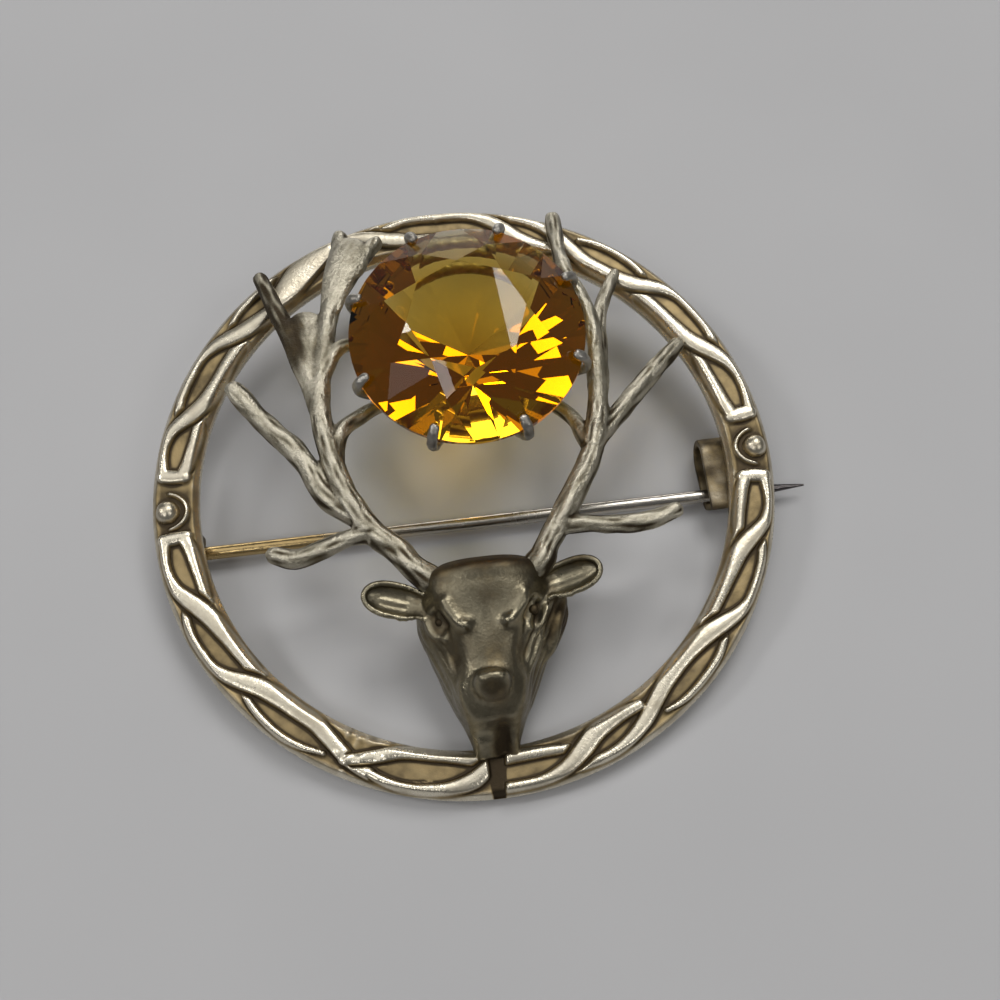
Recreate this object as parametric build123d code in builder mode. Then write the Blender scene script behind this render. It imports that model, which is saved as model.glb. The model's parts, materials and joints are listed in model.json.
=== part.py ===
from build123d import *
import os
from math import atan2, cos, degrees, radians, sin, sqrt, tan

os.makedirs("parts", exist_ok=True)

# All sizes are in mm. The brooch is built level: the ring's front face lies at Z 0, its centre on the
# Z axis, the stag's chin towards -Y and the hinge at -X. It is laid down on its back at the end.

# Ring
RING_OUTER_R = 21.0
BAND_WIDTH = 2.9
RING_THICK = 1.7
RING_EDGE_R = 0.45
POCKET_DEPTH = 0.42
POCKET_RIM = 0.5
POCKET_END = 0.4
BEAD_R = 0.53
BAR_ANGLE = 6.0
BAR_WIDTH = 0.5
BAR_RISE = 0.2

# Stone, a round brilliant cut
STONE_R = 7.75
TABLE_R = 3.85
CROWN_ANGLE = 34.0
PAVILION_ANGLE = 41.0
GIRDLE_THICK = 0.3
GIRDLE_Z = 4.8
STONE_X = 1.2
STONE_TO_RING = 2.15
FACET_TURN = 3.0
STAR_REACH = 0.5
HALF_REACH = 0.75

# Claw setting under the stone
CLAW_COUNT = 8
CLAW_TURN = 22.5
CLAW_R = 0.42
CLAW_TAPER = 0.92
CLAW_OVERHANG = 0.8
SEAT_GAP = 0.05
GALLERY_R = 5.3
GALLERY_WIRE_R = 0.45
GALLERY_DROP = 3.5

# Stag's head
HEAD_LENGTH = 11.2
HEAD_WIDTH = 8.6
HEAD_FRONT = 6.2
HEAD_BACK = 1.6
CROWN_X = 0.3
CHIN_X = -0.1
EAR_LENGTH = 3.9
EAR_WIDTH = 2.2
EAR_WALL = 0.35
EAR_HOLLOW = 0.9
EAR_UP = 0.16
EAR_FORWARD = 0.06

# Antlers
ANTLER_RISE = 3.6
BEAM_R = 0.58
STRAND_GAP = 0.35
BALL_SHARE = 1.05
TIP_HEIGHT = 0.2

# Pin and its hinge at the left
PIN_Y = -2.3
PIN_R = 0.46
NECK_R = 0.5
NECK_CLEAR = 0.1
PIN_DROP = 1.4
PIN_OVERHANG = 2.6
PIN_TAPER = 7.9
PIN_POINT = 3.4
POINT_R = 0.41
PIN_TIP_R = 0.07
EYE_R = 0.95
EYE_THICK = 1.0
EYE_JOIN = 0.2
RIVET_R = 0.4
RIVET_FIT = 0.02
RIVET_HEAD_R = 0.68
RIVET_HEAD_THICK = 0.28
EYE_FIT = 0.05
EYE_PLAY = 0.08
CHEEK_THICK = 0.6
CHEEK_R = 1.3
HINGE_PLATE = 0.4
SOLDER_SINK = 0.15

# Catch at the right
CATCH_WIDTH = 3.2
CATCH_THICK = 0.5
CATCH_GAP = 0.08
CATCH_INSET = 1.55
CATCH_REACH = 1.4
CATCH_LIMB = 2.6
CATCH_SLOPE = 8.0
CATCH_CORNER_R = 1.1
LIP_ANGLE = 58.0

# The surface that it lies on touches the ring's lower rim, the hinge and the catch
REST_TILT = 7.6

# Worked out from the sizes above
RING_INNER_R = RING_OUTER_R - BAND_WIDTH
RING_MID_R = RING_OUTER_R - BAND_WIDTH / 2
STONE_Y = RING_INNER_R - STONE_TO_RING - STONE_R
GALLERY_Z = GIRDLE_Z - GALLERY_DROP
CHIN_Y = -RING_MID_R
CROWN_Y = CHIN_Y + HEAD_LENGTH + BAND_WIDTH / 2
PIN_Z = -RING_THICK - PIN_DROP
HINGE_X = -sqrt(RING_MID_R**2 - PIN_Y**2)
CATCH_X = RING_INNER_R - CATCH_INSET + CATCH_WIDTH / 2
PIN_TIP_X = RING_OUTER_R + PIN_OVERHANG


def polar(radius, angle):
    return radius * cos(radians(angle)), radius * sin(radians(angle))


def between(start, end, share):
    return start + (end - start) * share


# Ring with the twisted ribbon's almond pockets. The pattern of one quarter starts at the bead
# beside it and is mirrored into the others. Sides run from -1, the inner edge, to 1, the outer edge.
# Columns: start angle, side at the start, end angle, side at the end
POCKETS = [
    (7.5, 0.0, 19.0, -1.0),
    (23.0, 1.0, 37.0, -1.0),
    (42.0, 1.0, 58.0, 1.0),
    (63.0, -1.0, 75.0, 1.0),
    (79.0, -1.0, 88.5, 0.0),
]


def pocket_point(angle, side):
    reach = BAND_WIDTH / 2 - POCKET_RIM
    return polar(RING_MID_R + side * reach * POCKET_END, angle)


with BuildPart() as ring:
    with BuildSketch(Plane.XZ):
        with Locations((RING_MID_R, -RING_THICK / 2)):
            RectangleRounded(BAND_WIDTH, RING_THICK, RING_EDGE_R)
    revolve(axis=Axis.Z)
    with BuildSketch():
        for start, start_side, end, end_side in POCKETS:
            middle = (start + end) / 2
            for mirrored in (1, -1):
                for half_turn in (0, 180):
                    turn = [half_turn + mirrored * angle for angle in (start, middle, end)]
                    first = pocket_point(turn[0], start_side)
                    last = pocket_point(turn[2], end_side)
                    with BuildLine():
                        ThreePointArc(first, polar(RING_OUTER_R - POCKET_RIM, turn[1]), last)
                        ThreePointArc(last, polar(RING_INNER_R + POCKET_RIM, turn[1]), first)
                    make_face()
    extrude(amount=-POCKET_DEPTH, mode=Mode.SUBTRACT)
    with Locations((RING_MID_R, 0, 0), (-RING_MID_R, 0, 0)):
        Sphere(BEAD_R)
    for bead_side in (0, 180):
        with PolarLocations(RING_MID_R, 2, start_angle=bead_side - BAR_ANGLE, angular_range=2 * BAR_ANGLE):
            Box(BAND_WIDTH - 2 * RING_EDGE_R, BAR_WIDTH, 2 * BAR_RISE)


# Stone: a round blank cut down by its facets
CROWN_HEIGHT = (STONE_R - TABLE_R) * tan(radians(CROWN_ANGLE))
PAVILION_DEPTH = STONE_R * tan(radians(PAVILION_ANGLE))
TURN_16 = cos(radians(11.25))
TURN_8 = cos(radians(22.5))
TABLE_EDGE_R = TABLE_R * TURN_8

# The stars and the halves meet where the mains let them, so their slopes follow from their reach
star_r = between(TABLE_EDGE_R, STONE_R, STAR_REACH)
star_height = (STONE_R - star_r * TURN_8) * tan(radians(CROWN_ANGLE))
star_slope = degrees(atan2(CROWN_HEIGHT - star_height, star_r - TABLE_EDGE_R))
upper_slope = degrees(atan2(star_height, STONE_R - star_r * TURN_16))
half_r = STONE_R * (1 - HALF_REACH)
half_depth = (STONE_R - half_r * TURN_8) * tan(radians(PAVILION_ANGLE))
lower_slope = degrees(atan2(half_depth, STONE_R - half_r * TURN_16))


def facet(azimuth, slope, radius, height):
    """A facet's plane: it passes a radius at a height above the girdle's middle."""
    across = Vector(*polar(1, azimuth))
    normal = across * sin(radians(slope)) + Vector(0, 0, cos(radians(slope)))
    return Plane(origin=Vector(STONE_X, STONE_Y, GIRDLE_Z + height) + across * radius, z_dir=normal)


with BuildPart() as stone:
    with Locations((STONE_X, STONE_Y, GIRDLE_Z - GIRDLE_THICK / 2 - PAVILION_DEPTH)):
        Cylinder(
            STONE_R,
            PAVILION_DEPTH + GIRDLE_THICK + CROWN_HEIGHT,
            align=(Align.CENTER, Align.CENTER, Align.MIN),
        )
    top = GIRDLE_THICK / 2
    for step in range(8):
        main = FACET_TURN + 45 * step
        cuts = [
            facet(main, CROWN_ANGLE, STONE_R, top),
            facet(main, 180 - PAVILION_ANGLE, STONE_R, -top),
            facet(main + 22.5, star_slope, TABLE_EDGE_R, top + CROWN_HEIGHT),
        ]
        for half in (main + 11.25, main + 33.75):
            cuts.append(facet(half, upper_slope, STONE_R, top))
            cuts.append(facet(half, 180 - lower_slope, STONE_R, -top))
        for cut in cuts:
            split(bisect_by=cut, keep=Keep.BOTTOM)


# Wires and branches: tapering runs between balls, which stand a little proud of the runs. The balls'
# poles lie along the runs, inside them.
def wire(points, start_r, end_r):
    steps = len(points) - 1
    radii = [between(start_r, end_r, step / steps) for step in range(steps + 1)]
    runs = [points[i + 1] - points[i] for i in range(steps)]
    for point, radius, run in zip(points, radii, runs + runs[-1:]):
        with Locations(Plane(origin=point, z_dir=run)):
            Sphere(radius * BALL_SHARE)
    for i in range(steps):
        with Locations(Plane(origin=points[i], z_dir=runs[i])):
            Cone(radii[i], radii[i + 1], runs[i].length, align=(Align.CENTER, Align.CENTER, Align.MIN))


# Setting: a gallery ring, and claws that rise from it past the girdle and fold over the crown
CLAW_TIP_R = CLAW_R * CLAW_TAPER
claw_out = STONE_R + SEAT_GAP + CLAW_R * BALL_SHARE
tip_in = STONE_R - CLAW_OVERHANG + CLAW_TIP_R
crown_slope = radians(upper_slope)
tip_z = GIRDLE_Z + GIRDLE_THICK / 2 + (STONE_R - tip_in * TURN_16) * tan(crown_slope)
tip_z += (SEAT_GAP + CLAW_TIP_R * BALL_SHARE) / cos(crown_slope)

with BuildPart() as claw:
    bend_z = GIRDLE_Z - GIRDLE_THICK / 2 - CLAW_R
    claw_path = [(GALLERY_R, GALLERY_Z), (claw_out, bend_z), (claw_out, tip_z - CLAW_R), (tip_in, tip_z)]
    wire([Vector(x, 0, z) for x, z in claw_path], CLAW_R, CLAW_TIP_R)

with BuildPart() as setting:
    with Locations((STONE_X, STONE_Y, GALLERY_Z)):
        Torus(GALLERY_R, GALLERY_WIRE_R)
    with Locations((STONE_X, STONE_Y)):
        with PolarLocations(0, CLAW_COUNT, start_angle=CLAW_TURN):
            add(claw.part)

# Head: sections from the crown down to the neck that is soldered on the ring.
# Columns: share of the length from the crown, half width at the cheeks and at the front as shares of
# half the width, back as a share of the depth behind Z 0, front as a share of the height before it
HEAD_SECTIONS = [
    (0.00, 0.52, 0.36, -1.15, 0.45),
    (0.09, 0.78, 0.56, 0.00, 0.62),
    (0.21, 0.95, 0.58, 0.75, 0.75),
    (0.32, 1.00, 0.52, 1.00, 0.86),
    (0.46, 0.88, 0.40, 1.00, 0.90),
    (0.60, 0.74, 0.35, 1.00, 0.97),
    (0.72, 0.62, 0.32, 1.00, 0.96),
    (0.80, 0.52, 0.26, 1.00, 0.74),
    (0.88, 0.43, 0.21, 1.00, 0.45),
    (1.00, 0.34, 0.17, 1.00, 0.08),
]


def head_plane(share):
    x = between(CROWN_X, CHIN_X, share)
    y = CROWN_Y - HEAD_LENGTH * share
    return Plane(origin=(x, y, 0), x_dir=(1, 0, 0), z_dir=(0, -1, 0))


def head_point(share, across, front):
    """A place on the head: along it, across it in half widths, and in front of Z 0."""
    origin = head_plane(share).origin
    return origin.X + across * HEAD_WIDTH / 2, origin.Y, front * HEAD_FRONT


with BuildPart() as head:
    for share, cheek, face, back, front in HEAD_SECTIONS:
        back_z = -HEAD_BACK * back
        front_z = HEAD_FRONT * front
        depth = front_z - back_z
        cheek_x = HEAD_WIDTH / 2 * cheek
        face_x = HEAD_WIDTH / 2 * face
        with BuildSketch(head_plane(share)):
            with BuildLine():
                Polyline(
                    (-cheek_x * 0.75, back_z),
                    (-cheek_x, back_z + depth * 0.18),
                    (-cheek_x * 0.96, back_z + depth * 0.42),
                    (-between(face_x, cheek_x, 0.45), back_z + depth * 0.68),
                    (-face_x, back_z + depth * 0.88),
                    (-face_x * 0.5, front_z),
                    (face_x * 0.5, front_z),
                    (face_x, back_z + depth * 0.88),
                    (between(face_x, cheek_x, 0.45), back_z + depth * 0.68),
                    (cheek_x * 0.96, back_z + depth * 0.42),
                    (cheek_x, back_z + depth * 0.18),
                    (cheek_x * 0.75, back_z),
                    close=True,
                )
            make_face()
    loft(ruled=True)

# Brow ridges, eyes and the nose's end, as balls on the head.
# Columns: share of the length, place across, front share, radius as a share of the head's width
BROW = (0.30, 0.36, 0.72, 0.105)
EYE = (0.36, 0.62, 0.50, 0.075)
NOSE = (0.70, 0.00, 0.80, 0.160)

with BuildPart() as head_details:
    for share, across, front, radius in (BROW, EYE):
        with Locations(head_point(share, across, front), head_point(share, -across, front)):
            Sphere(HEAD_WIDTH * radius)
    with Locations(head_point(*NOSE[:3])):
        Sphere(HEAD_WIDTH * NOSE[3])

# Ears: leaf shapes with a hollow front. Root: share of the head's length, place across, front share
EAR_ROOT = (0.17, 0.72, 0.50)
# Columns: share of the ear's length, half width and half depth as shares of the ear's width
EAR_SECTIONS = [
    (-0.25, 0.30, 0.30),
    (0.10, 0.40, 0.34),
    (0.50, 0.50, 0.32),
    (0.80, 0.44, 0.24),
    (1.00, 0.20, 0.12),
]


def ear_body(side, wall, forward):
    """One ear, or the cutter of its hollow: thinner by the wall and moved forward."""
    share, across, front_share = EAR_ROOT
    root = Vector(*head_point(share, side * across, front_share))
    out = Vector(side, EAR_UP, EAR_FORWARD).normalized()
    front = Vector(0, 0, 1).cross(out).cross(out) * -1
    with BuildPart() as body:
        for share, width, depth in EAR_SECTIONS:
            origin = root + out * EAR_LENGTH * share + front * forward
            with BuildSketch(Plane(origin=origin, x_dir=front.cross(out), z_dir=out)):
                Ellipse(EAR_WIDTH * width - wall * min(1, 2 * width), EAR_WIDTH * depth - wall * 0.3)
        loft()
    return body.part


with BuildPart() as ears:
    for side in (-1, 1):
        add(ear_body(side, 0, 0))
        add(ear_body(side, EAR_WALL, EAR_HOLLOW), mode=Mode.SUBTRACT)


# Antlers. A branch is a row of tapering runs between balls.
def antler_point(x_share, y_share, rise):
    """A place given by shares of the ring's inner radius and of the antlers' rise."""
    return Vector(x_share * RING_INNER_R, y_share * RING_INNER_R, rise * ANTLER_RISE)


def ring_point(angle, across):
    """Where a tip lies on the ring: across runs from -1 at the inner edge to 1 at the outer one."""
    x, y = polar(RING_MID_R + across * BAND_WIDTH / 2, angle)
    return Vector(x, y, TIP_HEIGHT)


def stone_point(angle, gap, height):
    """A place beside the stone, at a gap from its girdle."""
    x, y = polar(STONE_R + gap, angle)
    return Vector(STONE_X + x, STONE_Y + y, height)


def gallery_point(angle):
    x, y = polar(GALLERY_R, angle)
    return Vector(STONE_X + x, STONE_Y + y, GALLERY_Z)


def branch(points, start_share, end_share):
    """A branch whose radius runs between two shares of the beam's."""
    wire(points, BEAM_R * start_share, BEAM_R * end_share)


# Where an antler grows from the head: share of its length, place across, front share
PEDICLE = (0.07, 0.80, 0.50)


def pedicle(side):
    share, across, front_share = PEDICLE
    return Vector(*head_point(share, side * across, front_share))


left_beam = [
    antler_point(-0.252, -0.320, 0.89),
    antler_point(-0.343, -0.232, 0.94),
    antler_point(-0.423, -0.092, 1.00),
    antler_point(-0.457, 0.027, 1.00),
    antler_point(-0.491, 0.175, 0.94),
    antler_point(-0.498, 0.290, 0.89),
]
right_beam = [
    antler_point(0.245, -0.360, 0.89),
    antler_point(0.293, -0.287, 0.94),
    antler_point(0.384, -0.153, 0.97),
    antler_point(0.463, -0.010, 0.94),
    antler_point(0.505, 0.130, 0.90),
    antler_point(0.520, 0.240, 0.86),
]
left_fork = antler_point(-0.391, 0.906, 0.33)

with BuildPart() as left_antler:
    branch([pedicle(-1), left_beam[0]], 1.55, 1.18)
    branch(left_beam, 1.15, 0.92)
    # Crown tine, lying over the ring
    branch([left_beam[5], antler_point(-0.575, 0.540, 0.61), antler_point(-0.638, 0.719, 0.36)], 0.90, 0.80)
    branch([antler_point(-0.638, 0.719, 0.36), ring_point(128, 0.65)], 0.79, 0.68)
    # Middle tine, forked over the ring's top
    branch([left_beam[5], antler_point(-0.464, 0.543, 0.67), antler_point(-0.448, 0.712, 0.50)], 0.91, 0.80)
    branch([antler_point(-0.448, 0.712, 0.50), left_fork], 0.81, 1.05)
    branch([left_fork, ring_point(109.6, 0.60)], 0.88, 0.70)
    branch([left_fork, ring_point(102.5, -0.45)], 0.87, 0.66)
    # Web in the valley between those two
    branch([left_beam[5], antler_point(-0.510, 0.640, 0.58)], 0.93, 1.02)
    # Tines to the stone's setting
    branch([antler_point(-0.492, 0.350, 0.87), antler_point(-0.385, 0.520, 0.72), gallery_point(166)], 0.83, 0.66)
    branch([left_beam[3], antler_point(-0.424, 0.159, 0.86), antler_point(-0.345, 0.236, 0.66)], 0.84, 0.70)
    branch([antler_point(-0.345, 0.236, 0.66), gallery_point(206)], 0.69, 0.62)
    # Free outer tine and brow tine
    branch([antler_point(-0.370, -0.190, 0.95), antler_point(-0.485, -0.096, 0.95)], 1.05, 1.10)
    branch([antler_point(-0.485, -0.096, 0.95), antler_point(-0.571, 0.076, 0.90)], 1.12, 1.16)
    branch([antler_point(-0.571, 0.076, 0.90), antler_point(-0.692, 0.223, 0.90)], 1.14, 1.08)
    branch([antler_point(-0.692, 0.223, 0.90), antler_point(-0.799, 0.367, 0.95)], 1.07, 0.94)
    branch([left_beam[1], antler_point(-0.448, -0.250, 0.94), antler_point(-0.535, -0.277, 0.92)], 0.90, 1.02)
    branch([antler_point(-0.535, -0.277, 0.92), antler_point(-0.620, -0.294, 0.90)], 1.04, 1.08)
    branch([antler_point(-0.620, -0.294, 0.90), antler_point(-0.690, -0.270, 0.90)], 1.06, 0.94)

with BuildPart() as right_antler:
    branch([pedicle(1), right_beam[0]], 1.55, 1.22)
    branch(right_beam, 1.18, 0.95)
    # Strand to the ring's inner edge
    branch([right_beam[5], antler_point(0.549, 0.349, 0.72), antler_point(0.588, 0.569, 0.44)], 0.90, 0.82)
    branch([antler_point(0.588, 0.569, 0.44), ring_point(48.5, -0.55)], 0.81, 0.72)
    # Strand along the stone, then over the ring's top
    strand = [(-12, 0.83), (12, 0.76), (36, 0.58)]
    side_gap = STRAND_GAP + BEAM_R
    along = [stone_point(angle, side_gap, rise * ANTLER_RISE) for angle, rise in strand]
    branch([right_beam[4]] + along, 0.90, 0.78)
    branch([along[2], ring_point(65.6, 0.75)], 0.79, 0.90)
    # Free outer tine that touches the ring, tine to the setting and brow tine
    branch([right_beam[3], antler_point(0.521, 0.062, 0.84), antler_point(0.628, 0.176, 0.67)], 0.92, 1.02)
    branch([antler_point(0.628, 0.176, 0.67), antler_point(0.745, 0.303, 0.40)], 1.03, 1.08)
    branch([antler_point(0.745, 0.303, 0.40), ring_point(26.5, -1.15)], 1.06, 0.88)
    branch([right_beam[3], antler_point(0.408, 0.150, 0.60), gallery_point(-38)], 0.95, 0.78)
    branch([right_beam[1], antler_point(0.400, -0.285, 0.93), antler_point(0.492, -0.300, 0.90)], 0.92, 0.98)
    branch([antler_point(0.492, -0.300, 0.90), antler_point(0.615, -0.298, 0.87)], 0.97, 0.99)
    branch([antler_point(0.615, -0.298, 0.87), antler_point(0.720, -0.272, 0.87)], 0.98, 0.90)

# The plane that it rests on, tangent to the ring's lower rim. Hinge and catch are worn flat on it.
rest_normal = Vector(0, sin(radians(REST_TILT)), cos(radians(REST_TILT)))
rim_middle = Vector(0, RING_EDGE_R - RING_OUTER_R, RING_EDGE_R - RING_THICK)
REST_PLANE = Plane(origin=rim_middle - rest_normal * RING_EDGE_R, z_dir=rest_normal)

# Hinge: a plate and two cheeks, with the pin's flattened eye between them
CHEEK_IN = EYE_THICK / 2 + EYE_PLAY
CHEEK_OUT = CHEEK_IN + CHEEK_THICK
HINGE_TOP = -RING_THICK + SOLDER_SINK

with BuildPart() as hinge:
    with Locations((HINGE_X, PIN_Y, HINGE_TOP)):
        Box(
            2 * CHEEK_R,
            2 * CHEEK_OUT,
            HINGE_PLATE + SOLDER_SINK,
            align=(Align.CENTER, Align.CENTER, Align.MAX),
        )
    for cheek_y in (PIN_Y - CHEEK_IN - CHEEK_THICK / 2, PIN_Y + CHEEK_IN + CHEEK_THICK / 2):
        with BuildSketch(Plane.XZ.offset(-cheek_y)):
            with Locations((HINGE_X, PIN_Z)):
                Circle(CHEEK_R)
                Rectangle(2 * CHEEK_R, HINGE_TOP - PIN_Z, align=(Align.CENTER, Align.MIN))
                Circle(RIVET_R + RIVET_FIT, mode=Mode.SUBTRACT)
        extrude(amount=CHEEK_THICK / 2, both=True)
    split(bisect_by=REST_PLANE, keep=Keep.TOP)

with BuildPart() as hinge_rivet:
    with BuildSketch(Plane.XZ.offset(-PIN_Y)):
        with Locations((HINGE_X, PIN_Z)):
            Circle(RIVET_R)
    extrude(amount=CHEEK_OUT + RIVET_FIT + RIVET_HEAD_THICK, both=True)
    for head_y in (PIN_Y - CHEEK_OUT - RIVET_FIT, PIN_Y + CHEEK_OUT + RIVET_FIT):
        outward = 1 if head_y < PIN_Y else -1
        with BuildSketch(Plane.XZ.offset(-head_y)):
            with Locations((HINGE_X, PIN_Z)):
                Circle(RIVET_HEAD_R)
        extrude(amount=outward * RIVET_HEAD_THICK)

# Pin: eye, neck between the cheeks, straight shank, then the taper to its point
PIN_START = HINGE_X + EYE_R - EYE_JOIN
NECK_X = HINGE_X + CHEEK_R + NECK_CLEAR
TAPER_X = PIN_TIP_X - PIN_TAPER
POINT_X = PIN_TIP_X - PIN_POINT

with BuildPart() as pin_stem:
    with BuildSketch(Plane.YZ.offset(NECK_X)):
        with Locations((PIN_Y, PIN_Z)):
            Circle(PIN_R)
    extrude(amount=TAPER_X - NECK_X)
    tapers = [
        (PIN_START, NECK_R, NECK_X, PIN_R),
        (TAPER_X, PIN_R, POINT_X, POINT_R),
        (POINT_X, POINT_R, PIN_TIP_X, PIN_TIP_R),
    ]
    for start_x, start_r, end_x, end_r in tapers:
        with Locations(Plane(origin=(start_x, PIN_Y, PIN_Z), z_dir=(1, 0, 0))):
            Cone(start_r, end_r, end_x - start_x, align=(Align.CENTER, Align.CENTER, Align.MIN))
    with BuildSketch(Plane.XZ.offset(-PIN_Y)):
        with Locations((HINGE_X, PIN_Z)):
            Circle(EYE_R)
    extrude(amount=EYE_THICK / 2, both=True)
    with BuildSketch(Plane.XZ.offset(-PIN_Y)):
        with Locations((HINGE_X, PIN_Z)):
            Circle(RIVET_R + EYE_FIT)
    extrude(amount=EYE_THICK, both=True, mode=Mode.SUBTRACT)

# Catch: a strip bent to a C under the ring, with a lip in front of the pin
with BuildPart() as catch:
    top_z = -RING_THICK + SOLDER_SINK - CATCH_THICK / 2
    lip_r = PIN_R + CATCH_GAP + CATCH_THICK / 2
    limb_start = Vector(PIN_Y, PIN_Z) + Vector(*polar(lip_r, 270 - CATCH_SLOPE))
    drop = CATCH_LIMB * sin(radians(CATCH_SLOPE))
    bend_r = (top_z - limb_start.Y + drop) / (1 + cos(radians(CATCH_SLOPE)))
    with BuildSketch(Plane.YZ.offset(CATCH_X - CATCH_WIDTH / 2)):
        with BuildLine() as strip:
            lip = CenterArc((PIN_Y, PIN_Z), lip_r, 270 - CATCH_SLOPE - LIP_ANGLE, LIP_ANGLE)
            limb = PolarLine(lip @ 1, CATCH_LIMB, -CATCH_SLOPE)
            bend = JernArc(limb @ 1, limb % 1, bend_r, 180 + CATCH_SLOPE)
            Line(bend @ 1, (PIN_Y - CATCH_REACH, top_z))
        trace(line_width=CATCH_THICK)
    extrude(amount=CATCH_WIDTH)
    span = catch.part.bounding_box()
    with BuildSketch(Plane.XY.offset(span.min.Z)):
        with Locations((CATCH_X, (span.min.Y + span.max.Y) / 2)):
            RectangleRounded(CATCH_WIDTH, span.size.Y, CATCH_CORNER_R)
    extrude(amount=span.size.Z, mode=Mode.INTERSECT)
    split(bisect_by=REST_PLANE, keep=Keep.TOP)

# The soldered silver is one piece
with BuildPart() as brooch_frame:
    for soldered in (ring, head, head_details, ears, left_antler, right_antler, setting, hinge, catch):
        add(soldered.part)

# Laid down: tilted onto the surface, which becomes Z 0, and centred over the origin
tilted = Rotation(REST_TILT, 0, 0)
PIECES = {
    "brooch_frame": brooch_frame,
    "stone": stone,
    "pin_stem": pin_stem,
    "hinge_rivet": hinge_rivet,
}
spans = [piece.part.moved(tilted).bounding_box() for piece in PIECES.values()]
middle_x = (min(span.min.X for span in spans) + max(span.max.X for span in spans)) / 2
middle_y = (min(span.min.Y for span in spans) + max(span.max.Y for span in spans)) / 2
lowest = min(span.min.Z for span in spans)
REST = Pos(-middle_x, -middle_y, -lowest) * tilted

for name, piece in PIECES.items():
    with BuildPart() as laid:
        with Locations(REST):
            add(piece.part)
    laid.part.label = name
    export_step(laid.part, f"parts/{name}.step")
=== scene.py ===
import json
from math import cos, pi, radians, sin

import bpy
import numpy as np
from mathutils import Matrix


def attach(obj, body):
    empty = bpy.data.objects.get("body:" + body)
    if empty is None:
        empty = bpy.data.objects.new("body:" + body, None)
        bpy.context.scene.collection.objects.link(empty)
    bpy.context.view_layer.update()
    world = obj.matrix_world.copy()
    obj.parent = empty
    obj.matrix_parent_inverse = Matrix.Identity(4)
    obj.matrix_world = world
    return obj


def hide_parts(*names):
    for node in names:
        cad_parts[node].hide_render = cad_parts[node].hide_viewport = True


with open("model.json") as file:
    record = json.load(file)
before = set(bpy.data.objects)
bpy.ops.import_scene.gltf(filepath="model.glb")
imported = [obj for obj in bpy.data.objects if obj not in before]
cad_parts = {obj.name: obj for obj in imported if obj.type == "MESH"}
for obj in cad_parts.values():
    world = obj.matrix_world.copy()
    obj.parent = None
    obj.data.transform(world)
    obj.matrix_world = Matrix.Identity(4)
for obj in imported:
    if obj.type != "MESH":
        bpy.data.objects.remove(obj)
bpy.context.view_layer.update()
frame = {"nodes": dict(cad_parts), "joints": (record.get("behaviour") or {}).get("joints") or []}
scene = bpy.context.scene

# Sizes and places are in mm of the level brooch: the ring's front face at Z 0, its centre on the Z axis,
# the chin towards -Y and the hinge at -X. laid() turns them into the frame's metres.
MM = 0.001
REST_TILT = 7.6
RING_OUTER_R = 21.0
BAND_WIDTH = 2.9
RING_THICK = 1.7
RING_MID_R = RING_OUTER_R - BAND_WIDTH / 2
# How far the hinge and the catch reach into the ring's back
BACK_SEAT = 0.15
PIN_Y = -2.3
PIN_Z = -3.1
HINGE_X = -np.sqrt(RING_MID_R**2 - PIN_Y**2)
STONE = np.array([1.2, 8.2])
GALLERY_R = 5.3
GALLERY_Z = 1.3

turn = np.array(Matrix.Rotation(radians(REST_TILT), 3, "X"))
hinge_at = np.array(frame["joints"][0]["pos_m"])


def directed(vectors):
    """Directions of the level brooch, as the laid one has them."""
    return np.asarray(vectors, float) @ turn.T


def laid(points):
    """Places on the level brooch, leant back about its hinge and in metres."""
    return directed(np.asarray(points, float) - (HINGE_X, PIN_Y, PIN_Z)) * MM + hinge_at


# Arrays of points and faces


def between(low, high, share):
    """The value at this share of the way from low to high."""
    return low + (high - low) * share


def eased(value, low, high):
    """0 below low, 1 above high, and a smooth step from one to the other."""
    share = np.clip((value - low) / (high - low), 0, 1)
    return share * share * (3 - 2 * share)


def grid_faces(rows, columns, closed_rows=False, closed_columns=False):
    """Four-sided faces between neighbouring rows and columns. What is closed also joins last to first."""
    row = np.arange(rows if closed_rows else rows - 1)
    column = np.arange(columns if closed_columns else columns - 1)
    row, column = np.meshgrid(row, column, indexing="ij")
    next_row, next_column = (row + 1) % rows, (column + 1) % columns
    corners = [(row, column), (row, next_column), (next_row, next_column), (next_row, column)]
    return np.stack([a * columns + b for a, b in corners], -1).reshape(-1, 4)


def capped(points, rows, columns):
    """Points and faces of a closed skin: rings of points, with the middle of each end ring as a pole.

    The faces are a list of two arrays, the rings' of four corners and the ends' of three.
    """
    first = points[:columns].mean(0)
    last = points[-columns:].mean(0)
    poles = len(points), len(points) + 1
    around = np.arange(columns)
    after = (around + 1) % columns
    top = (rows - 1) * columns
    caps = [
        np.stack([np.full(columns, poles[0]), after, around], -1),
        np.stack([np.full(columns, poles[1]), top + around, top + after], -1),
    ]
    return np.vstack([points, first, last]), [grid_faces(rows, columns, closed_columns=True), np.vstack(caps)]


def curved(knots, values, at):
    """Cubics through values at knots, whose slopes come from their neighbours, read at new places."""
    slopes = np.gradient(values, knots, axis=0)
    i = np.clip(np.searchsorted(knots, at, side="right") - 1, 0, len(knots) - 2)
    extra = (1,) * (values.ndim - 1)
    span = (knots[i + 1] - knots[i]).reshape(-1, *extra)
    t = (at - knots[i]).reshape(-1, *extra) / span
    start = values[i] * (2 * t**3 - 3 * t**2 + 1) + slopes[i] * span * (t**3 - 2 * t**2 + t)
    return start + values[i + 1] * (3 * t**2 - 2 * t**3) + slopes[i + 1] * span * (t**3 - t**2)


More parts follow.
